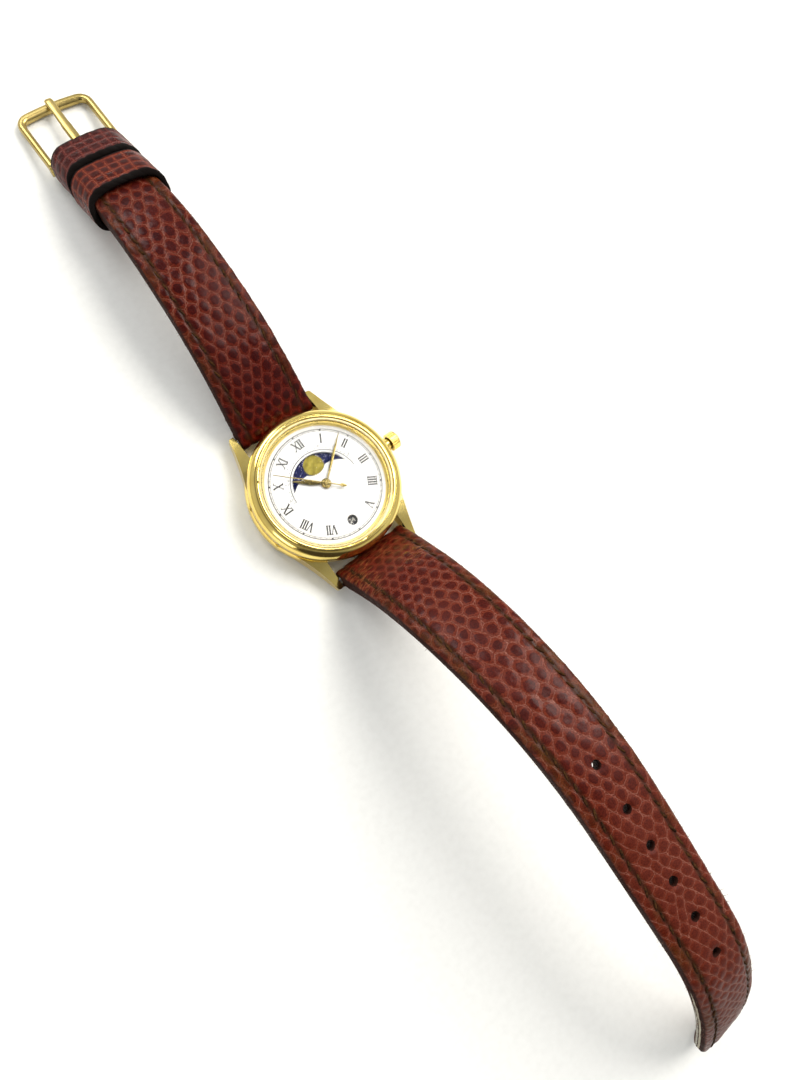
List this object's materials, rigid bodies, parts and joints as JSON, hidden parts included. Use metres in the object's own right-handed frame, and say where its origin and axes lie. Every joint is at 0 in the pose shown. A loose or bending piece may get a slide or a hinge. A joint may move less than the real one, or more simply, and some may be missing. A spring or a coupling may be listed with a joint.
{
  "type": "moon phase wristwatch",
  "caption": "Round quartz wristwatch with roman dial, moon phase aperture and small date window, on a two-piece leather strap with a pin buckle and two loops.",
  "frame": {"origin": "centre of the case back's outer flat face, which lies on the table", "axes": "+Z out of the dial, +Y to 12 o'clock and the buckle, +X to the crown at 3 o'clock"},
  "size_m": [0.0274, 0.1849, 0.0274],
  "materials": {
    "case_gold": "polished",
    "buckle_gold": "satin",
    "steel": "satin",
    "crystal": "polished",
    "gasket": "matt",
    "holder": "matt",
    "movement_brass": "satin",
    "dial_white": "satin",
    "hand_gold": "polished",
    "moon_blue": "satin",
    "date_dark": "satin",
    "magnet": "matt",
    "copper": "satin",
    "board": "satin",
    "chip": "matt",
    "strap_leather": "embossed, satin",
    "lining_leather": "matt",
    "padding": "matt"
  },
  "bodies": {
    "case": {"middle_case": "case_gold", "bezel": "case_gold", "crystal": "crystal", "crystal_gasket": "gasket", "case_back": "steel", "case_back_gasket": "gasket", "crown_tube": "steel", "crown_gasket": "gasket", "movement_holder": "holder", "main_plate": "movement_brass", "train_bridge": "movement_brass", "bridge_screws": "steel", "battery": "steel", "battery_clip": "steel", "coil_core": "magnet", "coil_winding": "copper", "stator": "magnet", "circuit_board": "board", "quartz_can": "steel", "chip": "chip", "dial": "dial_white", "date_ring_keeper": "holder", "tail_bar_tube": "steel", "buckle_half_bar_tube": "steel"},
    "second": {"fourth_wheel": "movement_brass", "second_hand": "hand_gold"},
    "minute": {"centre_wheel": "movement_brass", "cannon_pinion": "movement_brass", "minute_hand": "hand_gold"},
    "third": {"third_wheel": "movement_brass"},
    "fifth": {"fifth_wheel": "movement_brass"},
    "rotor": {"rotor": "magnet"},
    "minute_wheel": {"minute_wheel": "movement_brass"},
    "hour": {"hour_wheel": "movement_brass", "hour_hand": "hand_gold"},
    "date_driver": {"date_driving_wheel": "movement_brass"},
    "date": {"date_ring": "date_dark"},
    "moon": {"moon_disc": "moon_blue"},
    "clutch": {"sliding_pinion": "steel"},
    "crown": {"crown": "case_gold", "winding_stem": "steel"},
    "setting_lever": {"setting_lever": "steel"},
    "tail": {"tail_upper": "strap_leather", "tail_core": "padding", "tail_lining": "lining_leather"},
    "buckle_half": {"buckle_half_upper": "strap_leather", "buckle_half_core": "padding", "buckle_half_lining": "lining_leather", "fixed_loop": "strap_leather", "buckle_bar_tube": "steel"},
    "free_loop": {"free_loop": "strap_leather"},
    "buckle_frame": {"buckle_frame": "buckle_gold"},
    "buckle_tongue": {"buckle_tongue": "buckle_gold"},
    "tail_pin_left": {"tail_bar_pin_left": "steel"},
    "tail_pin_right": {"tail_bar_pin_right": "steel"},
    "buckle_half_pin_left": {"buckle_half_bar_pin_left": "steel"},
    "buckle_half_pin_right": {"buckle_half_bar_pin_right": "steel"},
    "buckle_pin_left": {"buckle_bar_pin_left": "steel"},
    "buckle_pin_right": {"buckle_bar_pin_right": "steel"}
  },
  "joints": [
    {"name": "second_hand_turn", "type": "hinge", "parent": "case", "child": "second", "pos_m": [0, 0, 0.0035], "axis": [0, 0, -1], "continuous": true},
    {"name": "minute_turn", "type": "hinge", "parent": "case", "child": "minute", "pos_m": [0, 0, 0.0035], "axis": [0, 0, -1], "continuous": true},
    {"name": "third_turn", "type": "hinge", "parent": "case", "child": "third", "pos_m": [-0.00053, 0.00301, 0.0035], "axis": [0, 0, -1], "continuous": true},
    {"name": "fifth_turn", "type": "hinge", "parent": "case", "child": "fifth", "pos_m": [0.00108, -0.00187, 0.0035], "axis": [0, 0, -1], "continuous": true},
    {"name": "rotor_turn", "type": "hinge", "parent": "case", "child": "rotor", "pos_m": [0.00202, -0.00351, 0.0035], "axis": [0, 0, -1], "continuous": true},
    {"name": "minute_wheel_turn", "type": "hinge", "parent": "case", "child": "minute_wheel", "pos_m": [-0.00139, 0.0008, 0.0035], "axis": [0, 0, -1], "continuous": true},
    {"name": "hour_turn", "type": "hinge", "parent": "case", "child": "hour", "pos_m": [0, 0, 0.0035], "axis": [0, 0, -1], "continuous": true},
    {"name": "date_driver_turn", "type": "hinge", "parent": "case", "child": "date_driver", "pos_m": [-0.00067, -0.00378, 0.0035], "axis": [0, 0, -1], "continuous": true},
    {"name": "date_turn", "type": "hinge", "parent": "case", "child": "date", "pos_m": [0, 0, 0.0035], "axis": [0, 0, -1], "continuous": true},
    {"name": "moon_turn", "type": "hinge", "parent": "case", "child": "moon", "pos_m": [0, 0, 0.0035], "axis": [0, 0, -1], "continuous": true},
    {"name": "crown_turn", "type": "hinge", "parent": "case", "child": "clutch", "pos_m": [0.00545, 0, 0.003], "axis": [1, 0, 0], "continuous": true},
    {"name": "crown_pull", "type": "slide", "parent": "clutch", "child": "crown", "axis": [1, 0, 0], "range_m": [0, 0.001]},
    {"name": "setting_lever_turn", "type": "hinge", "parent": "case", "child": "setting_lever", "pos_m": [0.0069, 0.002, 0.0038], "axis": [0, 0, 1], "range_deg": [0, 28]},
    {"name": "tail_swing", "type": "hinge", "parent": "case", "child": "tail", "pos_m": [0, -0.01345, 0.002], "axis": [1, 0, 0], "range_deg": [-12, 103]},
    {"name": "buckle_half_swing", "type": "hinge", "parent": "case", "child": "buckle_half", "pos_m": [0, 0.01345, 0.002], "axis": [1, 0, 0], "range_deg": [-82, 33]},
    {"name": "free_loop_slide", "type": "slide", "parent": "buckle_half", "child": "free_loop", "axis": [-0.027, -0.9195, 0.3921], "range_m": [0, 0.0025]},
    {"name": "buckle_turn", "type": "hinge", "parent": "buckle_half", "child": "buckle_frame", "pos_m": [0.00151, 0.06628, 0.0024], "axis": [0.9997, -0.0262, 0], "range_deg": [-75, 15]},
    {"name": "tongue_turn", "type": "hinge", "parent": "buckle_frame", "child": "buckle_tongue", "pos_m": [0.00151, 0.06628, 0.0024], "axis": [0.9997, -0.0262, 0], "range_deg": [0, 25]},
    {"name": "tail_pin_left_slide", "type": "slide", "parent": "case", "child": "tail_pin_left", "axis": [1, 0, 0], "range_m": [0, 0.0008], "stiffness_N_per_m": 500, "springref_m": -0.001},
    {"name": "tail_pin_right_slide", "type": "slide", "parent": "case", "child": "tail_pin_right", "axis": [-1, 0, 0], "range_m": [0, 0.0008], "stiffness_N_per_m": 500, "springref_m": -0.001},
    {"name": "buckle_half_pin_left_slide", "type": "slide", "parent": "case", "child": "buckle_half_pin_left", "axis": [1, 0, 0], "range_m": [0, 0.0008], "stiffness_N_per_m": 500, "springref_m": -0.001},
    {"name": "buckle_half_pin_right_slide", "type": "slide", "parent": "case", "child": "buckle_half_pin_right", "axis": [-1, 0, 0], "range_m": [0, 0.0008], "stiffness_N_per_m": 500, "springref_m": -0.001},
    {"name": "buckle_pin_left_slide", "type": "slide", "parent": "buckle_half", "child": "buckle_pin_left", "axis": [0.9997, -0.0262, 0], "range_m": [0, 0.0012], "stiffness_N_per_m": 500, "springref_m": -0.001},
    {"name": "buckle_pin_right_slide", "type": "slide", "parent": "buckle_half", "child": "buckle_pin_right", "axis": [-0.9997, 0.0262, 0], "range_m": [0, 0.0012], "stiffness_N_per_m": 500, "springref_m": -0.001}
  ],
  "couplings": [
    {"joint": "minute_turn", "follows": "second_hand_turn", "ratio": 0.016667},
    {"joint": "third_turn", "follows": "second_hand_turn", "ratio": -0.13333},
    {"joint": "fifth_turn", "follows": "second_hand_turn", "ratio": -5},
    {"joint": "rotor_turn", "follows": "second_hand_turn", "ratio": 30},
    {"joint": "minute_wheel_turn", "follows": "second_hand_turn", "ratio": -0.0055556},
    {"joint": "hour_turn", "follows": "second_hand_turn", "ratio": 0.0013889},
    {"joint": "date_driver_turn", "follows": "second_hand_turn", "ratio": -0.00069444},
    {"joint": "date_turn", "follows": "second_hand_turn", "ratio": -0.000022401},
    {"joint": "moon_turn", "follows": "second_hand_turn", "ratio": 0.00001177},
    {"joint": "setting_lever_turn", "follows": "crown_pull", "rad_per_m": 487}
  ]
}
